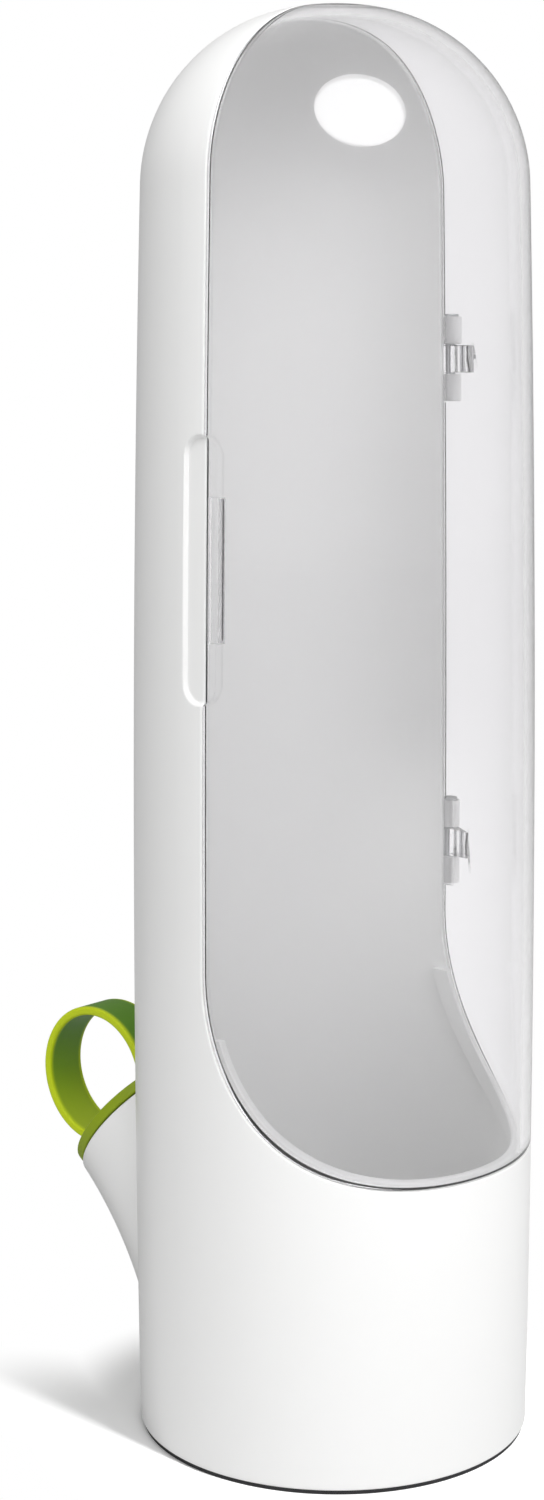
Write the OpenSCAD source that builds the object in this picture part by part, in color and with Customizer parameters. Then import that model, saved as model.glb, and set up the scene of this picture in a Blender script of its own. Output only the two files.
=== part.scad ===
// Herb keeper: a white cup with a half-round back, a clear side-hinged door, a bent filling
// spout at the back of the foot and a silicone stopper with a finger ring.
// Millimetres. Origin: centre of the foot. +Z up, the door faces -Y, the spout faces +Y.

/* [Body] */
// widest radius of the body
belly_radius = 38.0; // [34:0.5:46]
// height of the widest place
belly_height = 103.6; // [86:1:124]
// how much narrower the foot is than the widest place
foot_inset = 1.0; // [0.8:0.1:2]
// height where the dome starts
wall_height = 234.6; // [196:1:282]
// distance of the dome shoulder's centre from the body's axis
dome_flat = 2.9; // [2.4:0.1:3.5]
// radius of the round top of the dome
crown_radius = 46.5; // [39:0.5:56]

/* [Door] */
// wall of the clear door
door_wall = 2.0; // [1.7:0.1:2.3]
// open line between door and housing
seam_gap = 0.3; // [0.25:0.01:0.36]
// radius of the door's swept lower edge, seen from the side
sweep_radius = 38.0; // [32:0.5:45]
// height where that sweep leaves the upright seam
sweep_height = 92.5; // [77:0.5:111]
// how far the ledge stands up behind the door's lower edge
ledge_rise = 2.0; // [1.7:0.1:2.4]
// ledge thickness
ledge_thick = 1.5; // [1.25:0.05:1.8]
// gap between the door and what lies behind it
inner_gap = 0.3; // [0.25:0.01:0.36]
// how far the ledge sinks into the housing's wall
ledge_bite = 0.15; // [0.13:0.01:0.18]
// height where the ledge ends
ledge_top = 80.5; // [67:0.5:96]

/* [Grip and snap] */
// length of the grip recess
grip_length = 48.0; // [40:1:57]
// width of the grip recess
grip_width = 7.5; // [6.25:0.25:9]
// depth of the grip recess
grip_depth = 0.8; // [0.7:0.05:0.95]
// height of its middle
grip_height = 165.2; // [138:1:198]
// height of the snap tab behind the grip
tab_height = 26.0; // [22:1:31]

/* [Hinge] */
// how far the hinge line lies outside the widest place
hinge_out = 1.4; // [1.2:0.05:1.7]
// radius of the hinge knuckles
knuckle_radius = 2.4; // [2.2:0.1:2.8]
// height of one knuckle
knuckle_height = 5.4; // [4.5:0.1:6.4]
// gap between knuckles
knuckle_gap = 0.3; // [0.25:0.01:0.36]
// radius of the hinge pins
pin_radius = 1.0; // [0.85:0.05:1.2]
// running clearance of the pins in the door, on the radius
pin_clearance = 0.06; // [0.05:0.01:0.07]
// radius of a pin's head
head_radius = 1.8; // [1.5:0.05:2.1]
// thickness of a pin's head
head_thick = 0.8; // [0.7:0.05:1]
// how deep the head sits in the top knuckle
head_sink = 0.3; // [0.25:0.01:0.36]
// middle of the lower hinge
lower_hinge_z = 106.0; // [98:1:120]
// middle of the upper hinge
upper_hinge_z = 203.0; // [180:1:212]

/* [Spout] */
// outer radius of the bent spout
spout_radius = 15.8; // [14:0.1:17]
// wall of the spout
spout_wall = 2.4; // [2:0.1:2.8]
// radius of its bend
bend_radius = 77.5; // [70:0.5:84]
// how far inside the body's widest circle its lower end starts
spout_root = 14.7; // [12.3:0.1:17.6]
// height of the bend's centre
bend_centre_z = -9.2; // [-11:0.1:-7.7]
// how far outside the body's widest circle the mouth lies
mouth_out = 10.8; // [9:0.1:12.9]
// height of the mouth
mouth_z = 48.3; // [46:0.1:51]
// how steeply the mouth looks up
mouth_tilt = 39.0; // [36:0.5:44]

/* [Stopper] */
// radius of the flange
flange_radius = 15.4; // [13:0.1:15.8]
// thickness of the flange
flange_thick = 2.1; // [1.8:0.1:2.5]
// open line under the flange
flange_gap = 0.35; // [0.3:0.01:0.42]
// radius of the plug's bore
bore_radius = 12.6; // [10.5:0.1:13]
// clearance of the plug's sealing ribs, on the radius
plug_clearance = 0.06; // [0.05:0.01:0.07]
// depth of the plug
plug_depth = 8.0; // [6.7:0.1:9.6]
// outer radius of the finger ring
ring_radius = 14.1; // [12:0.1:15]
// band thickness of the finger ring
ring_thick = 1.75; // [1.5:0.05:2.1]
// band width of the finger ring
ring_width = 9.4; // [8:0.1:11]
// distance of the ring's centre from the mouth
ring_height = 13.1; // [12:0.1:15]

/* [Foot] */
// how far the white foot stands off the table
foot_lift = 0.6; // [0.5:0.05:0.7]
// thickness of the base plate
plate_thick = 2.4; // [2:0.1:2.9]
// height of the base plate's welding rim
plate_rim = 2.0; // [1.7:0.1:2.4]
// distance of the pad's groove from the foot's edge
groove_edge = 3.4; // [2.9:0.1:4]
// width of that groove
groove_width = 2.6; // [2.2:0.1:3.1]

/* [Hidden] */
$fn = 96;
far = 140;
belly_arc = (belly_height * belly_height + foot_inset * foot_inset) / (2 * foot_inset);
barrel = [belly_radius - belly_arc, belly_height];
shoulder = [dome_flat, wall_height];
shoulder_radius = belly_arc - norm(shoulder - barrel);
crown_drop = sqrt(pow(crown_radius - shoulder_radius, 2) - dome_flat * dome_flat);
crown = [0, wall_height - crown_drop];
// the arcs are drawn in short straight steps
barrel_steps = 6;
shoulder_steps = 24;
crown_steps = 4;
// angles at which one arc runs into the next
barrel_low = asin(-belly_height / belly_arc);
barrel_high = atan2((shoulder - barrel)[1], (shoulder - barrel)[0]);
crown_low = atan2((shoulder - crown)[1], (shoulder - crown)[0]);
// the crown ends in a small flat of 2 mm radius
crown_high = acos(2 / crown_radius);
ledge_inset = door_wall + inner_gap;
housing_wall = ledge_inset + ledge_bite;
hinge_offset = belly_radius + hinge_out;
tab_inset = housing_wall + inner_gap;
hinge_stack = 3 * knuckle_height + 2 * knuckle_gap;
relief_radius = knuckle_radius + inner_gap;
room_gap = 0.8 * knuckle_gap;
bend_centre_y = belly_radius - spout_root + bend_radius;
mouth_y = belly_radius + mouth_out;
channel_radius = spout_radius - spout_wall;
floor_z = foot_lift + plate_thick;
groove_out = belly_radius - foot_inset - groove_edge;
groove_in = groove_out - groove_width;

function arc_point(centre, radius, angle) = centre + radius * [cos(angle), sin(angle)];

// Half of the body's outline, moved inwards by inset: barrel arc, shoulder arc, crown arc.
module outline(inset) {
    low = arc_point(barrel, belly_arc - inset, barrel_low);
    top = arc_point(crown, crown_radius - inset, crown_high);
    polygon(concat(
        [[0, low[1]]],
        [for (i = [0:barrel_steps]) arc_point(barrel, belly_arc - inset,
            barrel_low + (barrel_high - barrel_low) * i / barrel_steps)],
        [for (i = [1:shoulder_steps]) arc_point(shoulder, shoulder_radius - inset,
            barrel_high + (crown_low - barrel_high) * i / shoulder_steps)],
        [for (i = [1:crown_steps]) arc_point(crown, crown_radius - inset,
            crown_low + (crown_high - crown_low) * i / crown_steps)],
        [[0, top[1]]]
    ));
}

module body(inset) {
    rotate([0, 0, 90])
        rotate_extrude($fn = 180)
            outline(inset);
}

// A thin layer of the body between two depths below its surface.
module layer(outer, inner) {
    difference() {
        body(outer);
        body(inner);
    }
}

// Draws a (y, z) shape and runs it right through the body along X.
module across(width = 2 * far) {
    rotate([90, 0, 90])
        linear_extrude(height = width, center = true)
            children();
}

// The side view of what the door covers, drawn back by gap from its own edge.
module door_side(gap) {
    translate([-sweep_radius, sweep_height])
        rotate(180)
            circle(r = sweep_radius - gap, $fn = 180);
    translate([-far, sweep_height])
        square([far - gap, far + wall_height]);
    translate([-far, sweep_height - sweep_radius + gap])
        square([far - sweep_radius, sweep_radius]);
}

// Stands at the mouth of the spout, with Z along the stopper's way out.
module at_mouth() {
    translate([0, mouth_y, mouth_z])
        rotate([mouth_tilt - 90, 0, 0])
            children();
}

// The bent round bar that the spout and its channel are cut from.
module bend(radius, from, to) {
    translate([0, bend_centre_y, bend_centre_z])
        rotate([90, 0, -90])
            rotate([0, 0, from])
                rotate_extrude(angle = to - from, $fn = 180)
                    translate([bend_radius, 0])
                        circle(r = radius);
}

module spout_outside() {
    difference() {
        bend(spout_radius, -6, 52);
        at_mouth()
            translate([-30, -40, 0])
                cube([60, 80, 40]);
        translate([-30, 0, -40])
            cube([60, 60, 40 + foot_lift]);
    }
}

module spout_inside() {
    difference() {
        bend(channel_radius, -6, 41);
        translate([-30, 0, -40])
            cube([60, 60, 40 + floor_z + plate_rim]);
    }
    at_mouth()
        translate([0, 0, -plug_depth - 3])
            cylinder(r = bore_radius, h = plug_depth + 10);
}

// The thumb recess across the near seam, a flat-bottomed pill.
module grip() {
    difference() {
        translate([-far / 2, 0, 0])
            across(far)
                translate([0.85, grip_height])
                    pill();
        body(grip_depth);
    }
}

module pill() {
    reach = (grip_length - grip_width) / 2;
    translate([-grip_width / 2, -reach])
        square([grip_width, 2 * reach]);
    translate([0, reach])
        circle(d = grip_width);
    translate([0, -reach])
        circle(d = grip_width);
}

// One knuckle seen from above: a round eye and an arm onto the wall. side +1 is the housing's.
module knuckle_plan(side) {
    translate([hinge_offset, 0])
        circle(r = knuckle_radius, $fn = 48);
    polygon([
        [hinge_offset + knuckle_radius * cos(32.6), side * knuckle_radius * sin(32.6)],
        [hinge_offset - 3.8, side * 8.88],
        [hinge_offset - 2.71, side * 0.64],
        [hinge_offset, side * seam_gap]
    ]);
}

// The stop lug that the open door's outside comes up against.
module stop_plan() {
    polygon([
        [hinge_offset, 0.4],
        [hinge_offset + 2 * knuckle_radius * cos(12), 2 * knuckle_radius * sin(12)],
        [hinge_offset + 2 * knuckle_radius * cos(30), 2 * knuckle_radius * sin(30)],
        [hinge_offset - 1.2, 5.2]
    ]);
}

module housing_knuckles(z) {
    for (s = [-1, 1])
        translate([0, 0, z + s * (knuckle_height + knuckle_gap) - knuckle_height / 2])
            linear_extrude(height = knuckle_height) {
                knuckle_plan(1);
                stop_plan();
            }
}

module door_knuckle(z) {
    translate([0, 0, z - knuckle_height / 2])
        linear_extrude(height = knuckle_height)
            knuckle_plan(-1);
}

// Room in the wall for one knuckle of the other piece.
module knuckle_room(z) {
    translate([hinge_offset, 0, z - knuckle_height / 2 - room_gap])
        cylinder(r = relief_radius, h = knuckle_height + 2 * room_gap);
}

// Rooms in the door's wall for the housing's two knuckles.
module housing_knuckle_room(z) {
    for (s = [-1, 1])
        knuckle_room(z + s * (knuckle_height + knuckle_gap));
}

// The bore of a hinge, with room for the pin's head at its top.
module pin_bore(z, radius) {
    translate([hinge_offset, 0, z - hinge_stack / 2 - 2])
        cylinder(r = radius, h = hinge_stack + 2);
    translate([hinge_offset, 0, z + hinge_stack / 2 - head_sink])
        cylinder(r = head_radius + inner_gap, h = head_thick + inner_gap);
}

// The ledge that the door's lower edge closes against, standing up out of the cup's wall.
module ledge() {
    intersection() {
        layer(ledge_inset, ledge_inset + ledge_thick);
        across()
            difference() {
                door_side(-3);
                door_side(ledge_rise);
            }
        translate([-far, -far, 0])
            cube([2 * far, 2 * far, ledge_top]);
    }
}

module housing() {
    color([0.93, 0.93, 0.92]) {
        difference() {
            union() {
                difference() {
                    body(0);
                    across()
                        door_side(0);
                }
                spout_outside();
                housing_knuckles(lower_hinge_z);
                housing_knuckles(upper_hinge_z);
            }
            body(housing_wall);
            spout_inside();
            translate([-far, -far, -10])
                cube([2 * far, 2 * far, 10 + foot_lift]);
            grip();
            knuckle_room(lower_hinge_z);
            knuckle_room(upper_hinge_z);
            pin_bore(lower_hinge_z, pin_radius);
            pin_bore(upper_hinge_z, pin_radius);
        }
        ledge();
    }
}

module base_plate() {
    color([0.9, 0.9, 0.89])
        difference() {
            intersection() {
                body(housing_wall);
                translate([-far, -far, foot_lift])
                    cube([2 * far, 2 * far, plate_thick + plate_rim]);
            }
            translate([0, 0, floor_z])
                cylinder(r = belly_radius - foot_inset - housing_wall - 2, h = 20);
            translate([0, 0, -1])
                difference() {
                    cylinder(r = groove_out, h = 1 + foot_lift + 1.1);
                    cylinder(r = groove_in, h = 1 + foot_lift + 1.1);
                }
        }
}

// A thin non-slip pad with a rib that sits in the base plate's groove.
module foot_pad() {
    color([0.16, 0.16, 0.17]) {
        cylinder(r = belly_radius - foot_inset - 0.7, h = foot_lift);
        difference() {
            cylinder(r = groove_out - 0.05, h = foot_lift + 1.0);
            translate([0, 0, -1])
                cylinder(r = groove_in + 0.05, h = 10);
        }
    }
}

module snap_tab() {
    low = grip_height - tab_height / 2;
    intersection() {
        layer(tab_inset, tab_inset + 1.3);
        translate([-far, -4, low])
            cube([far, 8.5, tab_height]);
    }
    intersection() {
        layer(door_wall - 0.8, tab_inset + 1.3);
        translate([-far, -4, low])
            cube([far, 4 - seam_gap, tab_height]);
    }
}

module door() {
    color([0.85, 0.9, 0.9, 0.35])
        difference() {
            union() {
                intersection() {
                    layer(0, door_wall);
                    across()
                        door_side(seam_gap);
                }
                snap_tab();
                door_knuckle(lower_hinge_z);
                door_knuckle(upper_hinge_z);
            }
            housing_knuckle_room(lower_hinge_z);
            housing_knuckle_room(upper_hinge_z);
            pin_bore(lower_hinge_z, pin_radius + pin_clearance);
            pin_bore(upper_hinge_z, pin_radius + pin_clearance);
            grip();
        }
}

module hinge_pin(z) {
    shaft = hinge_stack - head_sink;
    color([0.75, 0.76, 0.78])
        translate([hinge_offset, 0, z - hinge_stack / 2]) {
            cylinder(r = pin_radius, h = shaft + head_thick / 2);
            translate([0, 0, shaft])
                cylinder(r = head_radius, h = head_thick);
        }
}

module upper_hinge_pin() {
    hinge_pin(upper_hinge_z);
}

module lower_hinge_pin() {
    hinge_pin(lower_hinge_z);
}

// A hollow silicone plug with two sealing ribs, a flange and a flat finger ring.
module stopper() {
    skin = bore_radius - plug_clearance;
    color([0.5, 0.68, 0.12])
        at_mouth() {
            translate([0, 0, flange_gap])
                cylinder(r = flange_radius, h = flange_thick);
            difference() {
                union() {
                    translate([0, 0, -plug_depth])
                        cylinder(r = skin - 0.4, h = plug_depth + flange_gap + 0.5);
                    for (z = [2.2, 5.4])
                        translate([0, 0, -z])
                            rotate_extrude($fn = 96)
                                translate([skin - 0.7, 0])
                                    circle(r = 0.7, $fn = 32);
                }
                translate([0, 0, -plug_depth - 1])
                    cylinder(r = skin - 2.6, h = plug_depth);
            }
            difference() {
                translate([0, 0.5, ring_height])
                    rotate([0, 90, 0])
                        cylinder(r = ring_radius, h = ring_width, center = true);
                translate([0, 0.5, ring_height])
                    rotate([0, 90, 0])
                        cylinder(r = ring_radius - ring_thick, h = 30, center = true);
                translate([-20, -20, -20])
                    cube([40, 40, 20 + flange_gap + 0.4]);
            }
        }
}

housing();
base_plate();
foot_pad();
door();
upper_hinge_pin();
lower_hinge_pin();
stopper();
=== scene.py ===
# Herb keeper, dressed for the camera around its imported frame. Metres, +Z up, door to -Y, spout to +Y.
# Shapes are worked out in millimetres, as the mouldings would be drawn, and scaled once when a mesh is made.
import math

import bmesh
import bpy
import numpy as np
from mathutils import Matrix, Vector


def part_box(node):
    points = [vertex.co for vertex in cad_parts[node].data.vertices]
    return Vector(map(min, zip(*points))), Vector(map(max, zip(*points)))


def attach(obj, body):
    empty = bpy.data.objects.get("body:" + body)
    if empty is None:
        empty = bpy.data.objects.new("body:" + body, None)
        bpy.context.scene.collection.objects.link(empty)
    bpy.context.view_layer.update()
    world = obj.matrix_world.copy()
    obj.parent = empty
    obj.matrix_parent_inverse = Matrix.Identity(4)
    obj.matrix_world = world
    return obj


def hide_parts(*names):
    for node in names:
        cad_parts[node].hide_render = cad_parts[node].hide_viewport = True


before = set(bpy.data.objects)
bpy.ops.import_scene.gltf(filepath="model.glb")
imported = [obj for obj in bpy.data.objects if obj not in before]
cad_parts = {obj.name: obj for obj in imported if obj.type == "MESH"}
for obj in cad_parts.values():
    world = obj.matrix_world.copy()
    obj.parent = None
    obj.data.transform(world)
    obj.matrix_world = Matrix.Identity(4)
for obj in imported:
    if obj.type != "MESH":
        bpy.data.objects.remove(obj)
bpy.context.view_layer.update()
MM = 0.001

# ---------------------------------------------------------------------------------------------
# Camera. It stands in front and to the left of the keeper, a little under half a metre away,
# looks slightly down, and has its lens shifted to frame the tall body.
camera_place = (-0.3721, -0.2953, 0.2011)
camera_heading = math.atan2(0.6217, 0.7832)
camera_turn = math.radians(1.409)
camera_dip = math.radians(4.0)
camera_data = bpy.data.cameras.new("camera")
camera_data.sensor_width = 36.0
camera_data.lens = 60.51
camera_data.shift_y = -0.1369
camera_data.clip_start = 0.01
camera_data.clip_end = 20.0
camera = bpy.data.objects.new("camera", camera_data)
camera.location = camera_place
camera.rotation_euler = (math.pi / 2 - camera_dip, 0, camera_heading + camera_turn - math.pi / 2)
bpy.context.scene.collection.objects.link(camera)
bpy.context.scene.camera = camera

# ---------------------------------------------------------------------------------------------
# Studio. A white table in a white surround that is brighter on the key lamp's side. A broad key
# above the camera, a small lamp to its right and a soft one to its left light the keeper, and a
# fourth lights only the table, for the shadow beside the foot.
scene = bpy.context.scene
scene.view_settings.view_transform = "Standard"


def add(tree, kind, inputs=None, **settings):
    """A node with its settings, and its inputs given as values or as the sockets that feed them."""
    node = tree.nodes.new(kind)
    for name, value in settings.items():
        setattr(node, name, value)
    for key, value in (inputs or {}).items():
        if isinstance(value, bpy.types.NodeSocket):
            tree.links.new(value, node.inputs[key])
        else:
            node.inputs[key].default_value = value
    return node


def blank(name):
    """A new material with an empty node tree."""
    material = bpy.data.materials.new(name)
    material.use_nodes = True
    material.node_tree.nodes.clear()
    return material, material.node_tree


def ramp(tree, factor, stops):
    """A colour ramp through (position, grey or colour) stops."""
    node = add(tree, "ShaderNodeValToRGB", {"Fac": factor})
    while len(node.color_ramp.elements) < len(stops):
        node.color_ramp.elements.new(0.5)
    for element, (position, colour) in zip(node.color_ramp.elements, stops):
        element.position = position
        element.color = (colour, colour, colour, 1) if isinstance(colour, float) else (*colour, 1)
    return node.outputs["Color"]


def seen_ray(tree):
    """One for what the camera sees, straight or through the clear door, and nought for other light."""
    ways = add(tree, "ShaderNodeLightPath")
    return add(tree, "ShaderNodeMath", {0: ways.outputs["Is Camera Ray"], 1: ways.outputs["Is Transmission Ray"]},
               operation="MAXIMUM").outputs[0]


key_side = Vector((-0.48, -0.64, 0.60)).normalized()
world = bpy.data.worlds.new("studio")
world.use_nodes = True
scene.world = world
tree = world.node_tree
tree.nodes.clear()
direction = add(tree, "ShaderNodeTexCoord").outputs["Generated"]
toward = add(tree, "ShaderNodeVectorMath", {0: direction, 1: tuple(key_side)}, operation="DOT_PRODUCT")
half = add(tree, "ShaderNodeMath", {0: toward.outputs["Value"], 1: 0.5, 2: 0.5}, operation="MULTIPLY_ADD")
surround = ramp(tree, half.outputs[0], [(0.0, 0.30), (0.45, 0.455), (0.8, 0.57), (1.0, 0.62)])
shown = add(tree, "ShaderNodeMix", {0: seen_ray(tree), 6: surround, 7: (1, 1, 1, 1)}, data_type="RGBA")
back = add(tree, "ShaderNodeBackground", {"Color": shown.outputs[2], "Strength": 1.0})
add(tree, "ShaderNodeOutputWorld", {"Surface": back.outputs[0]})

# The shadow fades to plain white between two distances from the foot's middle, except in a
# tongue on the left, an ellipse given by its centre and one over its half lengths.
floor_radius = 3.0
shadow_whole, shadow_gone = 0.042, 0.060
tongue_centre, tongue_squeeze, tongue_whole = (-0.027, 0.029, 0), (44, 21, 0), 0.1
table_bounce, table_seen = 0.64, 1.15
floor_mesh = bpy.data.meshes.new("floor")
floor_bm = bmesh.new()
bmesh.ops.create_circle(floor_bm, cap_ends=True, radius=floor_radius, segments=64)
floor_bm.to_mesh(floor_mesh)
floor_bm.free()
floor = bpy.data.objects.new("floor", floor_mesh)
scene.collection.objects.link(floor)
paper, tree = blank("white_table")
place = add(tree, "ShaderNodeTexCoord").outputs["Object"]
reach = add(tree, "ShaderNodeVectorMath", {0: place}, operation="LENGTH")
beside = add(tree, "ShaderNodeVectorMath", {0: place, 1: tongue_centre}, operation="SUBTRACT")
squeezed = add(tree, "ShaderNodeVectorMath", {0: beside.outputs[0], 1: tongue_squeeze}, operation="MULTIPLY")
tongue = add(tree, "ShaderNodeVectorMath", {0: squeezed.outputs[0]}, operation="LENGTH")
foot_fade = add(tree, "ShaderNodeMapRange", {"Value": reach.outputs["Value"], "From Min": shadow_whole,
                                             "From Max": shadow_gone}, interpolation_type="SMOOTHSTEP")
tongue_fade = add(tree, "ShaderNodeMapRange", {"Value": tongue.outputs["Value"], "From Min": tongue_whole,
                                               "From Max": 1.0}, interpolation_type="SMOOTHSTEP")
faded = add(tree, "ShaderNodeMath", {0: foot_fade.outputs[0], 1: tongue_fade.outputs[0]}, operation="MINIMUM")
seen = seen_ray(tree)
lit = add(tree, "ShaderNodeMath", {0: seen, 1: faded.outputs[0]}, operation="MULTIPLY")
paleness = add(tree, "ShaderNodeMix", {0: seen, 6: (table_bounce,) * 3 + (1,), 7: (table_seen,) * 3 + (1,)},
               data_type="RGBA")
card = add(tree, "ShaderNodeBsdfDiffuse", {"Color": paleness.outputs[2]})
white = add(tree, "ShaderNodeEmission", {"Color": (1, 1, 1, 1), "Strength": 1.0})
both = add(tree, "ShaderNodeMixShader", {0: lit.outputs[0], 1: card.outputs[0], 2: white.outputs[0]})
add(tree, "ShaderNodeOutputMaterial", {"Surface": both.outputs[0]})
floor_mesh.materials.append(paper)


def lamp(name, place, aim, size, power):
    """A round soft lamp at place, facing aim."""
    data = bpy.data.lights.new(name, "AREA")
    data.shape = "DISK"
    data.size = size
    data.energy = power
    thing = bpy.data.objects.new(name, data)
    thing.location = place
    thing.rotation_euler = (Vector(aim) - Vector(place)).to_track_quat("-Z", "Y").to_euler()
    scene.collection.objects.link(thing)
    return thing


dome_front = (-0.024, -0.025, 0.246)
body_middle = (0, 0, 0.15)
lamps = [lamp("key", (-0.327, -0.498, 0.816), dome_front, size=0.72, power=5.45),
         lamp("side", (0.10, -0.80, 0.50), body_middle, size=0.20, power=1.1),
         lamp("top", (-0.42, 0.10, 0.78), body_middle, size=0.40, power=1.0),
         lamp("table", (-0.12, -0.80, 0.52), (0, 0, 0), size=0.12, power=11.0)]
table_only = bpy.data.collections.new("table only")
table_only.objects.link(floor)
keeper_only = bpy.data.collections.new("keeper only")
keeper_only.objects.link(floor)
keeper_only.collection_objects[0].light_linking.link_state = "EXCLUDE"
for shining in lamps:
    shining.light_linking.receiver_collection = table_only if shining.name == "table" else keeper_only
    shining.visible_glossy = shining.visible_transmission = shining.name == "key"

# ---------------------------------------------------------------------------------------------
# Housing. One white moulding: a round cup at the foot, the half-round back and half dome above
# it, the bent spout, the ledge behind the door's lower edge and its share of hinge and grip.
belly_radius, belly_height, foot_inset = 38.0, 103.6, 1.0
belly_arc = (belly_height**2 + foot_inset**2) / (2 * foot_inset)
dome_flat, wall_height, crown_radius = 2.9, 234.6, 46.5
shoulder_radius = belly_arc - math.hypot(dome_flat - belly_radius + belly_arc, wall_height - belly_height)
crown_centre = wall_height - math.sqrt((crown_radius - shoulder_radius) ** 2 - dome_flat**2)
shoulder_top = math.atan2(wall_height - crown_centre, dome_flat)
shoulder_low = math.atan2(wall_height - belly_height, dome_flat - belly_radius + belly_arc)
sweep_radius, sweep_height = 38.0, 92.5
housing_wall, edge_round, foot_lift = 2.45, 0.35, 0.8
rim_reach = edge_round + 0.45
grip_length, grip_width, grip_depth, grip_height, grip_middle = 48.0, 7.5, 0.8, 165.2, 0.85
grip_lap, shell_slope, door_slope = 0.25, 0.7, 0.4
hinge_x, knuckle_radius, knuckle_height, knuckle_gap, room_gap = 39.4, 2.4, 5.4, 0.3, 0.3
hinge_heights = (106.0, 203.0)


def barrel_radius(height, depth):
    """Radius of the body's wall at a height, this deep below its surface."""
    return belly_radius - belly_arc + np.sqrt((belly_arc - depth) ** 2 - (height - belly_height) ** 2)


def ring_at(level, y_edge, depth):
    """Radius and height of one level of the body, where its edge lies at y_edge."""
    kind, value = level
    if kind == "wall":
        return barrel_radius(value, depth), value
    if kind == "shoulder":
        r = shoulder_radius - depth
        return dome_flat + r * math.cos(value), wall_height + r * math.sin(value)
    r = math.hypot(value, y_edge)
    return r, crown_centre + math.sqrt((crown_radius - depth) ** 2 - r * r)


def wall_levels():
    """Levels from the top of the sweep to the crown, close together at the ends of the grip."""
    low_end, high_end = grip_height - grip_length / 2, grip_height + grip_length / 2 - grip_width / 2
    fine, before, after, clear = 0.25, 1, 5, 8
    stops = [sweep_height, *np.arange(99, low_end - 2, 6)]
    stops += np.arange(low_end - before, low_end + after, fine).tolist()
    stops += np.arange(low_end + clear, high_end - before, 4).tolist()
    stops += np.arange(high_end - before, high_end + after, fine).tolist()
    stops += np.linspace(high_end + clear, wall_height - 1.5, 7).tolist()
    return ([("wall", float(z)) for z in stops]
            + [("shoulder", a) for a in np.linspace(shoulder_low, shoulder_top, 28)]
            + [("crown", x) for x in (9.2, 7.8, 6.4, 5.0, 3.6, 2.4, 1.4, 0.6, 0.0)])


def sweep_line(edge, depth, count):
    """Points down the door's swept lower edge, from the upright seam to the front, evenly spaced.
    edge is how far outside the sweep they lie, as seen from the side."""
    t = np.concatenate([np.linspace(0, 1.2, 200), math.pi / 2 - 0.37 * np.linspace(1, 0, 400) ** 2])
    y = -sweep_radius + (sweep_radius + edge) * np.cos(t)
    z = sweep_height - (sweep_radius + edge) * np.sin(t)
    r = barrel_radius(z, depth)
    inside = np.abs(y) <= r
    y, z, r = y[inside], z[inside], r[inside]
    x = np.sqrt(r * r - y * y)
    last = np.array([0.0, -r[-1], z[-1]])
    points = np.vstack([np.column_stack([x, y, z]), last])
    run = np.concatenate([[0], np.cumsum(np.linalg.norm(np.diff(points, axis=0), axis=1))])
    even = np.linspace(0, run[-1], count + 1)
    line = np.column_stack([np.interp(even, run, points[:, k]) for k in range(3)])
    line[:, :2] *= (barrel_radius(line[:, 2], depth) / np.hypot(line[:, 0], line[:, 1]))[:, None]
    return line


def press_grip(points, depth, wall):
    """Presses the thumb recess into the near side of the housing's or the door's wall."""
    slope = shell_slope if wall == housing_wall else door_slope
    p = np.array(points, float).reshape(-1, 3)
    reach = (grip_length - grip_width) / 2
    dz = np.maximum(np.abs(p[:, 2] - grip_height) - reach, 0)
    out = np.hypot(p[:, 1] - grip_middle, dz) - grip_width / 2
    s = np.clip((grip_lap - out) / slope, 0, 1)
    dip = grip_depth * s * s * (3 - 2 * s) * (1 - depth / wall)
    near = (p[:, 0] < 0) & (dip > 0)
    r = np.hypot(p[:, 0], p[:, 1]) - dip
    p[near, 0] = -np.sqrt(r[near] ** 2 - p[near, 1] ** 2)
    return p.reshape(np.shape(points))


class Skin:
    """Gathers sheets of faces in millimetres and closes them into one mesh."""

    def __init__(self):
        self.points = []
        self.faces = []

    def sheet(self, grid, closed=False):
        """Faces over a grid of points, rows by columns; closed joins the last column to the first."""
        grid = np.asarray(grid, float)
        rows, columns = grid.shape[:2]
        base = len(self.points)
        self.points += [tuple(p) for p in grid.reshape(-1, 3)]
        for i in range(rows - 1):
            for j in range(columns if closed else columns - 1):
                k = (j + 1) % columns
                self.faces.append((base + i * columns + j, base + i * columns + k,
                                   base + (i + 1) * columns + k, base + (i + 1) * columns + j))

    def cap(self, loop):
        """One flat face over a closed loop."""
        base = len(self.points)
        self.points += [tuple(p) for p in loop]
        self.faces.append(tuple(range(base, base + len(loop))))

    def build(self, name):
        """The closed mesh as an object, in metres, with its faces outwards."""
        mesh = bpy.data.meshes.new(name)
        mesh.from_pydata([(x * MM, y * MM, z * MM) for x, y, z in self.points], [], self.faces)
        bm = bmesh.new()
        bm.from_mesh(mesh)
        bmesh.ops.remove_doubles(bm, verts=bm.verts, dist=2e-7)
        bmesh.ops.dissolve_degenerate(bm, edges=bm.edges, dist=1e-7)
        bmesh.ops.recalc_face_normals(bm, faces=bm.faces)
        if bm.calc_volume(signed=True) < 0:
            bmesh.ops.reverse_faces(bm, faces=bm.faces)
        open_edges = sum(1 for e in bm.edges if len(e.link_faces) != 2)
        bm.to_mesh(mesh)
        bm.free()
        if open_edges:
            print("open edges in", name, open_edges)
        thing = bpy.data.objects.new(name, mesh)
        scene.collection.objects.link(thing)
        return thing


def combine(base, other, operation):
    """Joins another solid to base, or cuts it away, and throws the other away."""
    modifier = base.modifiers.new(operation, "BOOLEAN")
    modifier.operation = operation
    modifier.solver = "EXACT"
    modifier.object = other
    settle(base)
    bpy.data.objects.remove(other)


def settle(thing):
    """Turns what the modifiers make into the object's own mesh."""
    shaped = bpy.data.meshes.new_from_object(thing.evaluated_get(bpy.context.evaluated_depsgraph_get()))
    thing.modifiers.clear()
    old = thing.data
    thing.data = shaped
    bpy.data.meshes.remove(old)


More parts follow.
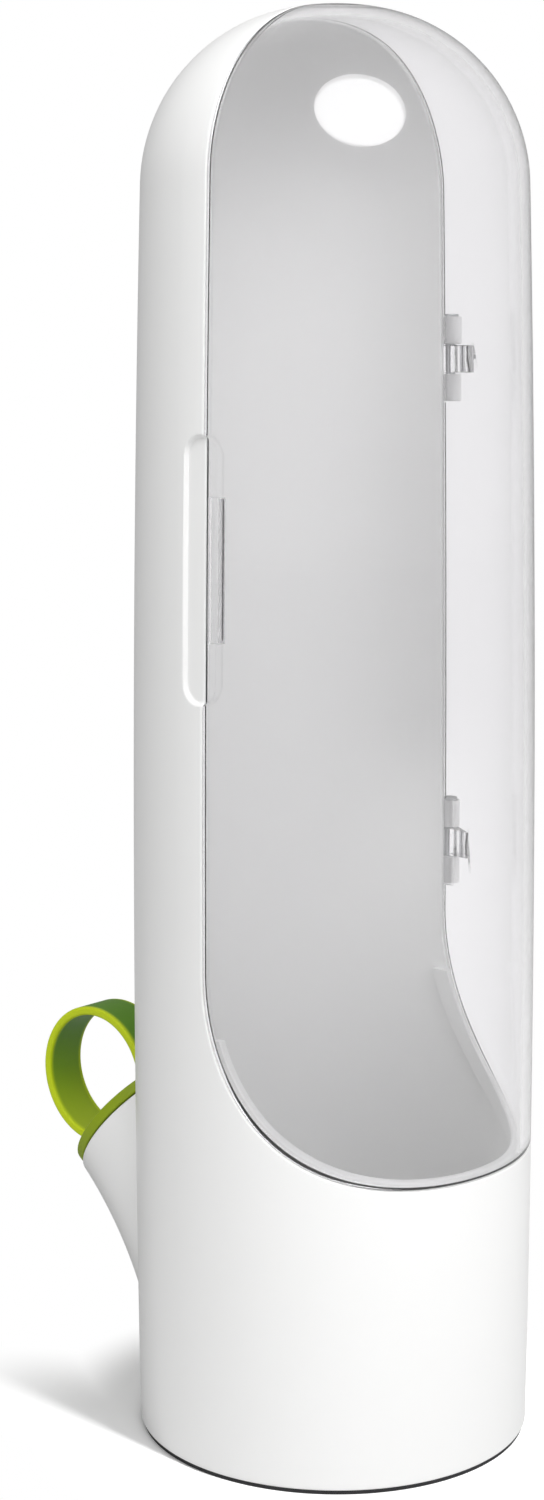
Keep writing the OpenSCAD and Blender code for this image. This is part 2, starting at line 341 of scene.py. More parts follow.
def smooth(thing, sharp=38.0):
    """Smooth shading, with creases where faces meet at more than the sharp angle, and flats kept flat."""
    mesh = thing.data
    mesh.shade_smooth()
    bm = bmesh.new()
    bm.from_mesh(mesh)
    for edge in bm.edges:
        edge.smooth = len(edge.link_faces) == 2 and edge.calc_face_angle(0.0) < math.radians(sharp)
    bm.to_mesh(mesh)
    bm.free()
    modifier = thing.modifiers.new("even normals", "WEIGHTED_NORMAL")
    modifier.keep_sharp = True
    modifier.weight = 60


def rounded_steps(reach, radius, steps=4):
    """(along, depth) steps round one edge, from the flat to the side."""
    angles = np.linspace(0, math.pi / 2, steps + 1)
    return [(reach + radius * (1 - math.sin(a)), radius * (1 - math.cos(a))) for a in angles]


def rim(wall):
    """Cross-section over a wall's edge, as (distance in from the edge, depth) from outside to inside."""
    over = rounded_steps(0.0, edge_round)
    return [(rim_reach, 0.0)] + over + [(a, wall - d) for a, d in reversed(over)] + [(rim_reach, wall)]


def dome_arc(level, edge, depth, shares, side):
    """One level's arc between its two seam edges, round the back (side 1) or the front (-1)."""
    r, z = ring_at(level, edge, depth)
    start = math.asin(min(1.0, abs(edge) / max(r, 1e-9)))
    angles = start + np.asarray(shares) * (math.pi - 2 * start)
    return np.column_stack([r * np.cos(angles), side * r * np.sin(angles), np.full(len(angles), z)])


def even_shares(count, step, coarse):
    """Shares of a half turn: a count of fine steps, in millimetres, by each seam and coarse ones between."""
    by_seam = [k * step / (math.pi * belly_radius) for k in range(count + 1)]
    return np.array(by_seam + list(np.linspace(by_seam[-1], 1 - by_seam[-1], coarse + 1)[1:-1])
                    + [1 - s for s in reversed(by_seam)])


levels = wall_levels()
side_points = 44
cup_rows = np.linspace(0, 1, 23)
back_shares = even_shares(26, 0.22, 48)


def seam_band(skin, sign, gap, wall):
    """The rounded rim that runs right round a half: sweep, upright seams and dome."""
    loops = []
    for along, depth in rim(wall):
        edge = sign * (gap + along)
        sweep = sweep_line(edge, depth, side_points)
        upright = np.array([dome_arc(level, edge, depth, [0.0], sign)[0] for level in levels[1:]])
        right = np.vstack([sweep[::-1], upright])
        left = right[::-1][1:-1] * (-1, 1, 1)
        loops.append(press_grip(np.vstack([right, left]), depth, wall))
    skin.sheet(loops, closed=True)


def housing_side(skin, depth):
    """The housing's outer or inner surface, up to its rim."""
    sweep = sweep_line(rim_reach, depth, side_points)
    first = math.atan2(rim_reach, barrel_radius(sweep_height, depth))
    back = dome_arc(levels[0], rim_reach, depth, back_shares, 1)
    top = np.vstack([back, (sweep * (-1, 1, 1))[1:], sweep[::-1][1:-1]])
    angle = np.unwrap(np.arctan2(top[:, 1], top[:, 0]))
    even = angle.copy()
    front = len(back) - 1
    even[front:] = np.linspace(angle[front], first + 2 * math.pi, len(top) - front + 1)[:-1]
    foot = foot_lift + (rim_reach if depth == 0 else 0.0)
    rows = []
    for share in cup_rows:
        z = foot + share * (top[:, 2] - foot)
        turn = even + (angle - even) * share**3
        r = barrel_radius(z, depth)
        rows.append(np.column_stack([r * np.cos(turn), r * np.sin(turn), z]))
    skin.sheet(press_grip(rows, depth, housing_wall), closed=True)
    rows_up = [dome_arc(level, rim_reach, depth, back_shares, 1) for level in levels]
    skin.sheet(press_grip(rows_up, depth, housing_wall))
    return rows[0]


shell = Skin()
seam_band(shell, 1, 0.0, housing_wall)
outer_foot = housing_side(shell, 0.0)
inner_foot = housing_side(shell, housing_wall)
foot_turn = np.arctan2(outer_foot[:, 1], outer_foot[:, 0])
foot_rows = [outer_foot]
for along, depth in rounded_steps(0.0, edge_round):
    r = barrel_radius(foot_lift + along, depth)
    foot_rows.append(np.column_stack([r * np.cos(foot_turn), r * np.sin(foot_turn),
                                      np.full(len(foot_turn), foot_lift + along)]))
foot_rows.append(inner_foot)
shell.sheet(foot_rows, closed=True)
housing = shell.build("housing_shell")


def bar(name, loops):
    """A solid bar through closed loops of points, with flat ends."""
    skin = Skin()
    skin.sheet(loops, closed=True)
    skin.cap(loops[0])
    skin.cap(loops[-1])
    return skin.build(name)


def prism(name, outline, low, high):
    """An upright bar of (x, y) outline between two heights."""
    return bar(name, [[(x, y, z) for x, y in outline] for z in (low, high)])


def lathe(name, outline, turns=96, matrix=None):
    """A turned solid from (radius, height) points that start and end on its axis."""
    angles = np.linspace(0, 2 * math.pi, turns, endpoint=False)
    rows = [np.column_stack([r * np.cos(angles), r * np.sin(angles), np.full(turns, z)]) for r, z in outline]
    if matrix is not None:
        rows = [np.array([matrix @ Vector(p) for p in row]) for row in rows]
    skin = Skin()
    skin.sheet(rows, closed=True)
    return skin.build(name)


def stacked_copies():
    """Node tree: copies of one part in a column, and that column again at each hinge or groove."""
    tree = bpy.data.node_groups.new("stacked copies", "GeometryNodeTree")
    for name, kind in (("Part", "Object"), ("Count", "Int"), ("Step", "Vector"), ("Columns", "Int"),
                       ("Column Step", "Vector"), ("Material", "Material")):
        tree.interface.new_socket(name, in_out="INPUT", socket_type="NodeSocket" + kind)
    tree.interface.new_socket("Geometry", in_out="OUTPUT", socket_type="NodeSocketGeometry")
    ins = add(tree, "NodeGroupInput").outputs
    part = add(tree, "GeometryNodeObjectInfo", {"Object": ins["Part"]})
    column = add(tree, "GeometryNodeMeshLine", {"Count": ins["Count"], "Offset": ins["Step"]})
    copies = add(tree, "GeometryNodeInstanceOnPoints", {"Points": column.outputs["Mesh"],
                                                        "Instance": part.outputs["Geometry"]})
    places = add(tree, "GeometryNodeMeshLine", {"Count": ins["Columns"], "Offset": ins["Column Step"]})
    columns = add(tree, "GeometryNodeInstanceOnPoints", {"Points": places.outputs["Mesh"],
                                                         "Instance": copies.outputs["Instances"]})
    real = add(tree, "GeometryNodeRealizeInstances", {"Geometry": columns.outputs["Instances"]})
    painted = add(tree, "GeometryNodeSetMaterial", {"Geometry": real.outputs["Geometry"],
                                                    "Material": ins["Material"]})
    add(tree, "NodeGroupOutput", {"Geometry": painted.outputs["Geometry"]})
    return tree


def grow(name, tree, values):
    """The plain mesh that a node tree makes from these values, as an object of its own."""
    thing = bpy.data.objects.new(name, bpy.data.meshes.new(name))
    scene.collection.objects.link(thing)
    modifier = thing.modifiers.new("shape", "NODES")
    modifier.node_group = tree
    for socket in tree.interface.items_tree:
        if socket.in_out == "INPUT":
            modifier[socket.identifier] = values.get(socket.name)
    settle(thing)
    return thing


def stack(name, part, count=1, step=0.0, columns=1, column_step=0.0, material=None):
    """Copies of a part, step millimetres apart, in columns; the part itself is used up."""
    thing = grow(name, copies_tree, {"Part": part, "Count": count, "Step": (0.0, 0.0, step * MM),
                                     "Columns": columns, "Column Step": (0.0, 0.0, column_step * MM),
                                     "Material": material})
    bpy.data.objects.remove(part)
    return thing


copies_tree = stacked_copies()


def round_outline(corners, radius, steps=4):
    """Rounds the inner corners of an open outline of (radius, height) points."""
    points = [corners[0]]
    for before, corner, after in zip(corners, corners[1:], corners[2:]):
        a, b, c = (Vector(p) for p in (before, corner, after))
        u, v = (a - b), (c - b)
        r = min(radius, u.length * 0.45, v.length * 0.45)
        u.normalize()
        v.normalize()
        start, end = b + u * r, b + v * r
        for k in range(steps + 1):
            t = k / steps
            points.append(tuple(start * (1 - t) ** 2 + b * 2 * t * (1 - t) + end * t**2))
    return points + [corners[-1]]


# the ledge: a low wall that follows the sweep and shows just above the door's lower edge
ledge_rise, ledge_depth, ledge_thick, ledge_root, ledge_edge = 0.9, 2.3, 1.5, 3.0, 0.3
ledge_top, ledge_trim, ledge_steps = 80.5, 0.4, 60
ledge_inside = ledge_depth + ledge_thick
ledge_section = [(ledge_root, ledge_depth), (-ledge_rise + ledge_edge, ledge_depth),
                 (-ledge_rise, ledge_depth + ledge_edge), (-ledge_rise, ledge_inside - ledge_edge),
                 (-ledge_rise + ledge_edge, ledge_inside), (ledge_root, ledge_inside)]
lines = []
for edge, depth in ledge_section:
    line = sweep_line(edge, depth, 90)
    start = np.array([np.interp(ledge_top, line[::-1, 2], line[::-1, k]) for k in range(3)])
    kept = np.vstack([start, line[line[:, 2] < ledge_top - ledge_trim]])
    run = np.concatenate([[0], np.cumsum(np.linalg.norm(np.diff(kept, axis=0), axis=1))])
    even = np.linspace(0, run[-1], ledge_steps)
    half_line = np.column_stack([np.interp(even, run, kept[:, k]) for k in range(3)])
    lines.append(np.vstack([half_line, half_line[::-1][1:] * (-1, 1, 1)]))
ledge = bar("ledge", np.array(lines).transpose(1, 0, 2))
combine(housing, ledge, "UNION")

# the spout: a bent tube with a rounded lip, rooted in the cup's wall
spout_radius, spout_start, bend_radius, bend_centre_z = 15.8, 23.3, 77.5, -9.2
channel_radius, bore_radius, bore_depth = 13.4, 12.6, 11.0
mouth_y, mouth_z, mouth_tilt = 48.8, 48.3, math.radians(39.0)
mouth_way = Vector((0, math.cos(mouth_tilt), math.sin(mouth_tilt)))
mouth = Matrix.Translation((0, mouth_y, mouth_z)) @ Matrix.Rotation(mouth_tilt - math.pi / 2, 4, "X")
mouth_turn = math.atan2(mouth_z - bend_centre_z, spout_start + bend_radius - mouth_y)


def bend_ring(turn, radius, slant=0.0, count=96):
    """One ring of the bent tube at this much of the bend, slanted a little towards the mouth's plane."""
    centre = np.array([0, spout_start + bend_radius - bend_radius * math.cos(turn),
                       bend_centre_z + bend_radius * math.sin(turn)])
    out = np.array([0, -math.cos(turn + slant), math.sin(turn + slant)])
    angles = np.linspace(0, 2 * math.pi, count, endpoint=False)
    return centre + radius * (np.outer(np.cos(angles), out) + np.outer(np.sin(angles), [1, 0, 0]))


mouth_slant = (math.pi / 2 - mouth_tilt) - mouth_turn
tube_foot, tube_short, tube_steps, lip = math.radians(-6), 0.008, 43, 0.5
tube_rings = [bend_ring(t, spout_radius, mouth_slant * (k / tube_steps) ** 4)
              for k, t in enumerate(np.linspace(tube_foot, mouth_turn - tube_short, tube_steps + 1))]
for a in np.linspace(0, math.pi / 2, 5):
    ring = bend_ring(mouth_turn, spout_radius - lip * (1 - math.cos(a)), mouth_slant)
    tube_rings.append(ring - np.array(mouth_way) * lip * (1 - math.sin(a)))
spout = bar("spout", tube_rings)
root_depth, room_heights = 1.3, (-20, 0.3, 30, 60, 90)
cup_room = [(0, room_heights[0]), *((float(barrel_radius(z, root_depth)), z) for z in room_heights),
            (0, room_heights[-1])]
combine(spout, lathe("cup_room", cup_room), "DIFFERENCE")
under_foot = [(-30, -10), (30, -10), (30, 60), (-30, 60)]
combine(spout, prism("under", under_foot, -60, foot_lift), "DIFFERENCE")
combine(housing, spout, "UNION")
bore_lip, bore_bevel, bore_past = bore_radius + 0.5, bore_radius + 0.15, 4
bore_outline = [(0, -bore_depth), (bore_radius, -bore_depth), (bore_radius, -0.5), (bore_bevel, -0.15),
                (bore_lip, 0), (bore_lip, bore_past), (0, bore_past)]
combine(housing, lathe("mouth_bore", bore_outline, matrix=mouth), "DIFFERENCE")
channel_rise, channel_lap, channel_trim, channel_end = 4.4, 3.0, 0.02, math.radians(41)
channel_low = math.asin((foot_lift + channel_rise - bend_centre_z + channel_lap) / bend_radius)
channel_turns = np.linspace(channel_low, channel_end, 30)
channel = bar("channel", [bend_ring(t, channel_radius - channel_trim) for t in channel_turns])
combine(housing, channel, "DIFFERENCE")

# the hinge: eyes on arms, with rooms cut for the door's eyes and for the pins' heads
arm_near, arm_far, eye_break = (2.71, 0.64), (3.8, 8.88), 0.2
lug_turns, lug_heel, lug_root, lug_inset = (12, 30), 0.4, (1.2, 5.2), 0.15
cutter_turn = 0.03


def knuckle(name, side, low, high):
    """One hinge knuckle: a round eye with an arm onto the wall, its edges broken. side 1 is the housing's."""
    eye = np.radians(np.linspace(32.6, -187, 40))
    outline = [(hinge_x + knuckle_radius * math.cos(a), side * knuckle_radius * math.sin(a)) for a in eye]
    outline += [(hinge_x - back, side * out) for back, out in (arm_near, arm_far)]
    thing = prism(name, outline, low, high)
    broken = thing.modifiers.new("edges", "BEVEL")
    broken.width = eye_break * MM
    broken.segments = 2
    broken.limit_method = "ANGLE"
    broken.angle_limit = math.radians(50)
    settle(thing)
    return thing


def rod(name, radius, low, high):
    """A plain round cutter on the hinge line, turned a little so that its edges miss the wall's."""
    turned = Matrix.Translation((hinge_x, 0, 0)) @ Matrix.Rotation(cutter_turn, 4, "Z")
    return lathe(name, [(0, low), (radius, low), (radius, high), (0, high)], turns=48, matrix=turned)


def stop_lug(low, high):
    """The lug on a housing knuckle that the open door's outside comes up against."""
    reach, turns = 2 * knuckle_radius, np.radians(lug_turns)
    outline = [(hinge_x, lug_heel), *((hinge_x + reach * math.cos(a), reach * math.sin(a)) for a in turns),
               (hinge_x - lug_root[0], lug_root[1])]
    return prism("lug", outline, low, high)


pitch = knuckle_height + knuckle_gap
room = knuckle_height / 2 + 0.8 * knuckle_gap
low_hinge, hinge_step = hinge_heights[0], hinge_heights[1] - hinge_heights[0]
hinge_top = low_hinge + pitch + knuckle_height / 2
head_radius, head_thick, head_sink = 1.8, 0.8, 0.3
eye_room = rod("room", knuckle_radius + room_gap, low_hinge - room, low_hinge + room)
combine(housing, stack("rooms", eye_room, columns=2, column_step=hinge_step), "DIFFERENCE")
low, high = low_hinge - pitch - knuckle_height / 2, low_hinge - pitch + knuckle_height / 2
eye = knuckle("eye", 1, low, high)
combine(eye, stop_lug(low + lug_inset, high - lug_inset), "UNION")
combine(housing, stack("eyes", eye, count=2, step=2 * pitch, columns=2, column_step=hinge_step), "UNION")
head_room = rod("head room", head_radius + room_gap, hinge_top - head_sink, hinge_top + 2)
combine(housing, stack("head rooms", head_room, columns=2, column_step=hinge_step), "DIFFERENCE")
smooth(housing)


def skin_group():
    """Moulded surface: slow change of tone, handling marks in the gloss, and the skin's fine unevenness."""
    group = bpy.data.node_groups.new("moulded skin", "ShaderNodeTree")
    for name in ("Grain Size", "Mark Size", "Gloss", "Gloss Change"):
        group.interface.new_socket(name, in_out="INPUT", socket_type="NodeSocketFloat")
    for name in ("Tone", "Roughness", "Height"):
        group.interface.new_socket(name, in_out="OUTPUT", socket_type="NodeSocketFloat")
    ins = add(group, "NodeGroupInput").outputs
    place = add(group, "ShaderNodeTexCoord").outputs["Object"]
    grain_scale = add(group, "ShaderNodeMath", {0: 1.0, 1: ins["Grain Size"]}, operation="DIVIDE").outputs[0]
    mark_scale = add(group, "ShaderNodeMath", {0: 1.0, 1: ins["Mark Size"]}, operation="DIVIDE").outputs[0]
    grain = add(group, "ShaderNodeTexNoise", {"Vector": place, "Scale": grain_scale, "Detail": 3.0,
                                              "Roughness": 0.55})
    marks = add(group, "ShaderNodeTexNoise", {"Vector": place, "Scale": mark_scale, "Detail": 4.0,
                                              "Roughness": 0.6, "Distortion": 0.6})
    slow = add(group, "ShaderNodeMapRange", {"Value": marks.outputs["Fac"], "From Min": 0.35, "From Max": 0.68})
    gloss = add(group, "ShaderNodeMath", {0: slow.outputs[0], 1: ins["Gloss Change"], 2: ins["Gloss"]},
                operation="MULTIPLY_ADD")
    tone = add(group, "ShaderNodeMapRange", {"Value": marks.outputs["Fac"], "From Min": 0.3, "From Max": 0.7,
                                             "To Min": 0.993, "To Max": 1.0})
    out = add(group, "NodeGroupOutput")
    group.links.new(tone.outputs[0], out.inputs["Tone"])
    group.links.new(gloss.outputs[0], out.inputs["Roughness"])
    group.links.new(grain.outputs["Fac"], out.inputs["Height"])
    return group


moulded_skin = skin_group()


def skinned(tree, grain, marks, gloss, change, bump):
    """The moulded skin in a material: its tone and roughness, and the normal of its uneven surface."""
    skin = add(tree, "ShaderNodeGroup", node_tree=moulded_skin)
    for key, value in (("Grain Size", grain), ("Mark Size", marks), ("Gloss", gloss), ("Gloss Change", change)):
        skin.inputs[key].default_value = value
    uneven = add(tree, "ShaderNodeBump", {"Height": skin.outputs["Height"], "Strength": bump, "Distance": 0.0002})
    return skin.outputs["Tone"], skin.outputs["Roughness"], uneven.outputs[0]


def moulding(name, colour, grain, gloss, change, bump):
    """A moulded material, one colour with the skin's tone, gloss and unevenness over it, and its shader."""
    material, tree = blank(name)
    tone, roughness, normal = skinned(tree, grain=grain, marks=0.02, gloss=gloss, change=change, bump=bump)
    tint = add(tree, "ShaderNodeMix", {0: 1.0, 6: (*colour, 1), 7: tone}, data_type="RGBA", blend_type="MULTIPLY")
    shader = add(tree, "ShaderNodeBsdfPrincipled", {"Base Color": tint.outputs[2], "Roughness": roughness,
                                                    "Normal": normal})
    add(tree, "ShaderNodeOutputMaterial", {"Surface": shader.outputs[0]})
    return material, shader


white_shell, shader = moulding("white_shell", (0.86, 0.86, 0.855), grain=0.0009, gloss=0.30, change=0.03,
                               bump=0.02)
shader.inputs["IOR"].default_value = 1.49
housing.data.materials.clear()
housing.data.materials.append(white_shell)
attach(housing, "housing")
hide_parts("housing")

# ---------------------------------------------------------------------------------------------
# Base plate. The white plate welded into the open foot, with a low rim that stands up inside
# the cup and a groove underneath for the pad's rib; its skin is a little duller than the shell.
plate_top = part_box("base_plate")[1].z / MM
floor_top = foot_lift + 2.4
plate_fit, plate_rim = 0.02, 2
plate_out = float(barrel_radius(foot_lift, housing_wall)) - plate_fit
rim_in = belly_radius - foot_inset - housing_wall - plate_rim
groove_in, groove_out, groove_top = 31.0, 33.6, foot_lift + 1.1
plate_outline = round_outline([(0, floor_top), (rim_in, floor_top), (rim_in, plate_top), (plate_out, plate_top),
                               (plate_out, foot_lift), (groove_out, foot_lift), (groove_out, groove_top),
                               (groove_in, groove_top), (groove_in, foot_lift), (0, foot_lift)], 0.3)
base_plate = lathe("base_plate_moulding", plate_outline, turns=128)
smooth(base_plate)
white_plate, _ = moulding("white_plate", (0.82, 0.82, 0.81), grain=0.0005, gloss=0.42, change=0.06, bump=0.08)
base_plate.data.materials.append(white_plate)
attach(base_plate, "housing")
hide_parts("base_plate")

# ---------------------------------------------------------------------------------------------
# Foot pad. A thin dark rubber disc pressed onto the base plate by its rib; only its edge shows,
# as the dark line that the white foot stands on.
pad_radius = belly_radius - foot_inset - 0.35
pad_rib_in, pad_rib_out, pad_rib_top = groove_in + 0.05, groove_out - 0.05, foot_lift + 1.0
pad_outline = round_outline([(0, 0), (pad_radius, 0), (pad_radius, foot_lift), (pad_rib_out, foot_lift),
                             (pad_rib_out, pad_rib_top), (pad_rib_in, pad_rib_top), (pad_rib_in, foot_lift),
                             (0, foot_lift)], 0.15, steps=3)
foot_pad = lathe("foot_pad_rubber", pad_outline, turns=128)
smooth(foot_pad)
foot_rubber, _ = moulding("foot_rubber", (0.018, 0.018, 0.02), grain=0.0004, gloss=0.6, change=0.2, bump=0.3)
foot_pad.data.materials.append(foot_rubber)
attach(foot_pad, "housing")
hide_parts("foot_pad")

# ---------------------------------------------------------------------------------------------
# Door. The clear front, a half-round wall and half dome in one polished moulding, with its
# hinge knuckles, its share of the grip and the snap tab that slips inside the housing.
door_wall, seam_gap = 2.0, 0.14
pin_radius, pin_clearance = 1.0, 0.06
door_shares = even_shares(14, 0.28, 2 * side_points - 28)
front_rows, even_above = np.linspace(0, 1, 19), 40.0


def door_side(skin, depth):
    """The door's outer or inner surface, up to its rim."""
    edge = -(seam_gap + rim_reach)
    sweep = sweep_line(edge, depth, side_points)
    low = np.vstack([sweep, sweep[::-1][1:] * (-1, 1, 1)])
    turn = -np.unwrap(np.arctan2(-low[:, 1], low[:, 0]))
    rows = []
    for share in front_rows[:-1]:
        z = low[:, 2] + share * (sweep_height - low[:, 2])
        r = barrel_radius(z, depth)
        rows.append(np.column_stack([r * np.cos(turn), r * np.sin(turn), z]))
    start = abs(turn[0])
    shares = (-turn - start) / (math.pi - 2 * start)
    for level in levels:
        ease = min(1.0, (ring_at(level, edge, depth)[1] - sweep_height) / even_above)
        ease = ease * ease * (3 - 2 * ease)
        rows.append(dome_arc(level, edge, depth, shares + (door_shares - shares) * ease, -1))
    skin.sheet(press_grip(rows, depth, door_wall))


front = Skin()
seam_band(front, -1, seam_gap, door_wall)
door_side(front, 0.0)
door_side(front, door_wall)
door = front.build("clear_door")

# the snap tab: a strip behind the wall, as (out past the seam, depth) points, that reaches in behind
# the housing's wall with 0.3 mm to spare
tab_low, tab_high = grip_height - 13.0, grip_height + 13.0
tab_in, tab_deep, tab_root = housing_wall + 0.3, housing_wall + 0.3 + 1.3, door_wall - 0.8
tab_step = -seam_gap - 0.3
tab_section = [(-2.6, tab_root), (-2.6, tab_deep - 0.5), (-2.45, tab_deep - 0.15), (-2.1, tab_deep),
               (-1.0, tab_deep), (2.0, tab_deep), (4.2, tab_deep), (4.5, tab_deep - 0.3), (4.5, tab_in + 0.3),
               (4.2, tab_in), (2.0, tab_in), (tab_step, tab_in), (tab_step, tab_root)]
tab_loops = []
for share in (0.0, 0.02, 0.25, 0.5, 0.75, 0.98, 1.0):
    z = tab_low + share * (tab_high - tab_low)
    tab_loops.append([(-math.sqrt(barrel_radius(z, d) ** 2 - y * y), y, z) for y, d in tab_section])
combine(door, bar("tab", tab_loops), "UNION")
eye_room = rod("room", knuckle_radius + room_gap, low_hinge - pitch - room, low_hinge - pitch + room)
eye_rooms = stack("rooms", eye_room, count=2, step=2 * pitch, columns=2, column_step=hinge_step)
combine(door, eye_rooms, "DIFFERENCE")
eye = knuckle("eye", -1, low_hinge - knuckle_height / 2, low_hinge + knuckle_height / 2)
combine(eye, rod("bore", pin_radius + pin_clearance, low_hinge - 4, low_hinge + 4), "DIFFERENCE")
combine(door, stack("eyes", eye, columns=2, column_step=hinge_step), "UNION")
smooth(door)
clear_door, tree = blank("clear_door")
_, roughness, normal = skinned(tree, grain=0.006, marks=0.012, gloss=0.012, change=0.01, bump=0.006)
plastic = add(tree, "ShaderNodeBsdfPrincipled", {"Base Color": (0.945, 0.940, 0.950, 1), "IOR": 1.57,
                                                 "Transmission Weight": 1.0, "Roughness": roughness,
                                                 "Normal": normal, "Coat Weight": 0.4, "Coat Roughness": 0.16})
ways = add(tree, "ShaderNodeLightPath")
passing = add(tree, "ShaderNodeBsdfTransparent", {"Color": (0.62, 0.625, 0.625, 1)})
mixed = add(tree, "ShaderNodeMixShader", {0: ways.outputs["Is Shadow Ray"], 1: plastic.outputs[0],
                                          2: passing.outputs[0]})
add(tree, "ShaderNodeOutputMaterial", {"Surface": mixed.outputs[0]})
door.data.materials.clear()
door.data.materials.append(clear_door)
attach(door, "door")
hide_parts("door")

# ---------------------------------------------------------------------------------------------
# Hinge pins. Two drawn steel pins with flat heads, dropped through the knuckles from above; the
# door turns on them, and each head sits in a shallow room in the top knuckle.
pin_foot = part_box("lower_hinge_pin")[0].z / MM
pin_head = hinge_top - head_sink
pin_top = pin_head + head_thick
pin_outline = round_outline([(0, pin_foot), (pin_radius, pin_foot), (pin_radius, pin_head),
                             (head_radius, pin_head), (head_radius, pin_top), (0, pin_top)], 0.2, steps=3)
pin_steel, shader = moulding("pin_steel", (0.55, 0.56, 0.57), grain=0.0003, gloss=0.28, change=0.12, bump=0.1)
shader.inputs["Metallic"].default_value = 1.0
one_pin = lathe("pin", pin_outline, turns=40, matrix=Matrix.Translation((hinge_x, 0, 0)))
pins = stack("hinge_pins", one_pin, columns=2, column_step=hinge_step, material=pin_steel)
smooth(pins)
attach(pins, "housing")
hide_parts("upper_hinge_pin", "lower_hinge_pin")

# ---------------------------------------------------------------------------------------------
# Stopper. One soft green silicone moulding: a hollow plug whose two sealing ribs press into the
# spout's bore, a flange that lies on the mouth, and a ring for a finger to pull it out by.
flange_radius, flange_thick, flange_gap = 15.4, 2.1, 0.35
rib_gap, rib_radius, rib_step, first_rib, rib_turn = 0.06, 0.7, 3.2, 2.2, 0.013
plug_radius, plug_depth, plug_wall, plug_roof = bore_radius - rib_gap - 0.4, 8.0, 2.2, 1.0
ring_radius, ring_thick, ring_width, ring_height, ring_offset = 14.1, 1.75, 9.4, 13.1, 0.5
flange_top = flange_gap + flange_thick
plug_outline = round_outline([(0, flange_top), (flange_radius, flange_top), (flange_radius, flange_gap),
                              (plug_radius, flange_gap), (plug_radius, -plug_depth),
                              (plug_radius - plug_wall, -plug_depth), (plug_radius - plug_wall, -plug_roof),
                              (0, -plug_roof)], 0.4)
stopper = lathe("stopper_silicone", plug_outline, turns=128, matrix=mouth)
mouth_mm = Matrix.Translation(mouth.translation * MM) @ mouth.to_3x3().to_4x4()


def bent_strip():
    """Node tree: a strip with rounded edges, bent into a closed ring round Z."""
    tree = bpy.data.node_groups.new("bent strip", "GeometryNodeTree")
    for name in ("Radius", "Thickness", "Width", "Edge"):
        tree.interface.new_socket(name, in_out="INPUT", socket_type="NodeSocketFloat")
    for name in ("Steps", "Edge Steps"):
        tree.interface.new_socket(name, in_out="INPUT", socket_type="NodeSocketInt")
    tree.interface.new_socket("Material", in_out="INPUT", socket_type="NodeSocketMaterial")
    tree.interface.new_socket("Geometry", in_out="OUTPUT", socket_type="NodeSocketGeometry")
    ins = add(tree, "NodeGroupInput").outputs
    way = add(tree, "GeometryNodeCurvePrimitiveCircle", {"Resolution": ins["Steps"], "Radius": ins["Radius"]})
    flat = add(tree, "GeometryNodeCurvePrimitiveQuadrilateral", {"Width": ins["Thickness"],
                                                                 "Height": ins["Width"]})
    section = add(tree, "GeometryNodeFilletCurve", {"Curve": flat.outputs[0], "Count": ins["Edge Steps"],
                                                    "Radius": ins["Edge"]}, mode="POLY")
    swept = add(tree, "GeometryNodeCurveToMesh", {"Curve": way.outputs["Curve"],
                                                  "Profile Curve": section.outputs[0]})
    real = add(tree, "GeometryNodeRealizeInstances", {"Geometry": swept.outputs[0]})
    painted = add(tree, "GeometryNodeSetMaterial", {"Geometry": real.outputs[0], "Material": ins["Material"]})
    add(tree, "NodeGroupOutput", {"Geometry": painted.outputs[0]})
    return tree


strip_tree = bent_strip()
green_silicone, shader = moulding("green_silicone", (0.56, 0.68, 0.011), grain=0.0006, gloss=0.42, change=0.06,
                                  bump=0.05)
shader.inputs["Specular IOR Level"].default_value = 0.25
rib = grow("rib", strip_tree, {"Radius": (bore_radius - rib_gap - rib_radius) * MM,
                               "Thickness": 2 * rib_radius * MM, "Width": 2 * rib_radius * MM,
                               "Edge": 0.98 * rib_radius * MM, "Steps": 120, "Edge Steps": 5,
                               "Material": green_silicone})
ribs = stack("ribs", rib, count=2, step=-rib_step, material=green_silicone)
ribs.data.transform(mouth_mm @ Matrix.Translation((0, 0, -first_rib * MM)) @ Matrix.Rotation(rib_turn, 4, "Z"))
combine(stopper, ribs, "UNION")
hoop = grow("hoop", strip_tree, {"Radius": (ring_radius - ring_thick / 2) * MM, "Thickness": ring_thick * MM,
                                 "Width": ring_width * MM, "Edge": 0.55 * MM, "Steps": 144, "Edge Steps": 4,
                                 "Material": green_silicone})
hoop.data.transform(mouth_mm @ Matrix.Translation((0, ring_offset * MM, ring_height * MM))
                    @ Matrix.Rotation(math.pi / 2, 4, "Y"))
combine(stopper, hoop, "UNION")
smooth(stopper)

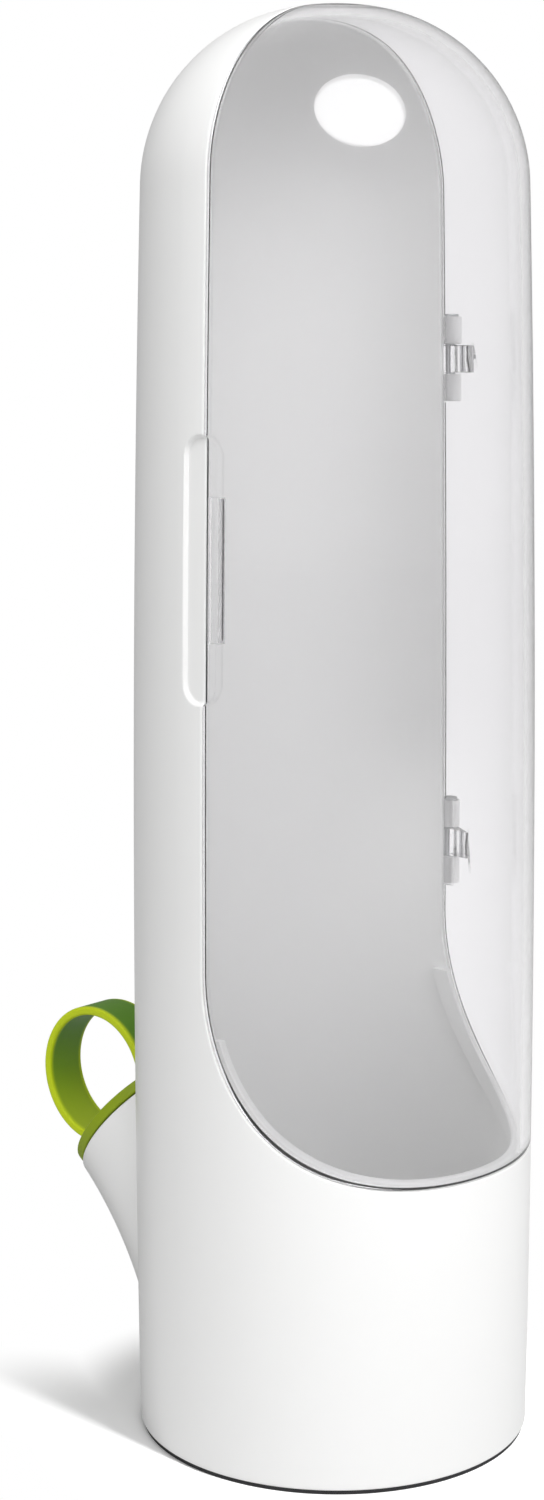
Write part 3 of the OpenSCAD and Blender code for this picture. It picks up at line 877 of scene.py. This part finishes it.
# painted shade over the green: the ring's broad faces are painted darker than its edges, which stay
# lighter as a painted glow, more so higher up, and the flange and the plug are painted darker again
tree = green_silicone.node_tree
face_whole, face_gone = 0.0034, 0.0046
ring_low, ring_high = 0.043, 0.070
flange_whole, flange_gone = 0.0024, 0.0036
# painted shade on the ring's broad faces, darker higher up, and painted shade on the flange and plug
painted_shade_stops = [(0.0, (0.66, 0.70, 0.9)), (0.45, (0.30, 0.45, 0.7)), (0.8, (0.16, 0.34, 0.7))]
flange_painted_shade = (0.46, 0.52, 0.9, 1)
place = add(tree, "ShaderNodeTexCoord").outputs["Object"]
across = add(tree, "ShaderNodeSeparateXYZ", {0: place})
from_middle = add(tree, "ShaderNodeMath", {0: across.outputs["X"]}, operation="ABSOLUTE")
painted_shade_mask = add(tree, "ShaderNodeMapRange", {"Value": from_middle.outputs[0], "From Min": face_whole,
                                        "From Max": face_gone, "To Min": 1.0, "To Max": 0.0},
           interpolation_type="SMOOTHSTEP")
ring_height_share = add(tree, "ShaderNodeMapRange", {"Value": across.outputs["Z"], "From Min": ring_low,
                                                     "From Max": ring_high})
painted_shade_by_height = ramp(tree, ring_height_share.outputs[0], painted_shade_stops)
# painted glow along the ring's edges, painted shade on its broad faces
ring_painted_shade = add(tree, "ShaderNodeMix", {0: painted_shade_mask.outputs[0], 6: (1, 1, 1, 1), 7: painted_shade_by_height}, data_type="RGBA")
along = add(tree, "ShaderNodeVectorMath", {0: place, 1: tuple(mouth_way)}, operation="DOT_PRODUCT")
mouth_reach = mouth_way.dot(Vector((0, mouth_y, mouth_z))) * MM
above = add(tree, "ShaderNodeMapRange", {"Value": along.outputs["Value"], "From Min": mouth_reach + flange_whole,
                                         "From Max": mouth_reach + flange_gone})
# painted shade on the flange and the plug, below the ring
painted_shade_tone = add(tree, "ShaderNodeMix", {0: above.outputs[0], 6: flange_painted_shade, 7: ring_painted_shade.outputs[2]},
                 data_type="RGBA")
# the painted shade and glow, multiplied into the silicone's own green
painted_shade_tint = add(tree, "ShaderNodeMix", {0: 1.0, 6: shader.inputs["Base Color"].links[0].from_socket,
                                   7: painted_shade_tone.outputs[2]}, data_type="RGBA", blend_type="MULTIPLY")
tree.links.new(painted_shade_tint.outputs[2], shader.inputs["Base Color"])
stopper.data.materials.clear()
stopper.data.materials.append(green_silicone)
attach(stopper, "stopper")
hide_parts("stopper")
